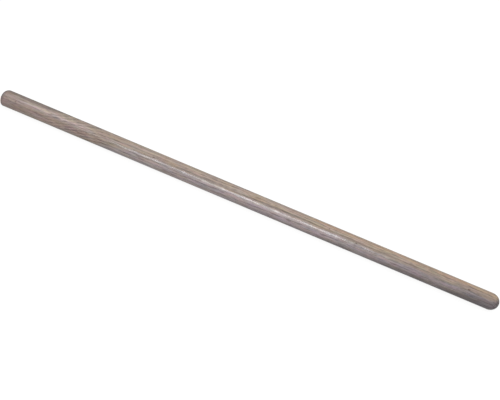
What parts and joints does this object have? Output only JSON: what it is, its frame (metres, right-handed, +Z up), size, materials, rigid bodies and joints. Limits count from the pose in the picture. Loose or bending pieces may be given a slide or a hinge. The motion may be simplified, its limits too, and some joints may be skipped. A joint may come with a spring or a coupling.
{
  "type": "roller extension pole",
  "caption": "Straight round wooden pole with rounded ends; a paint roller's frame is pushed onto its roller end so that the painter can reach further.",
  "frame": {"origin": "on the surface that the pole lies on, under the middle of its length", "axes": "+X along the pole from the roller end to the domed hand end, +Z up"},
  "size_m": [0.9, 0.029, 0.029],
  "materials": {
    "wood": "grey-brown straight-grained wood under a thin clear satin lacquer"
  },
  "bodies": {
    "root": {"wooden_pole": "wood"}
  },
  "joints": []
}
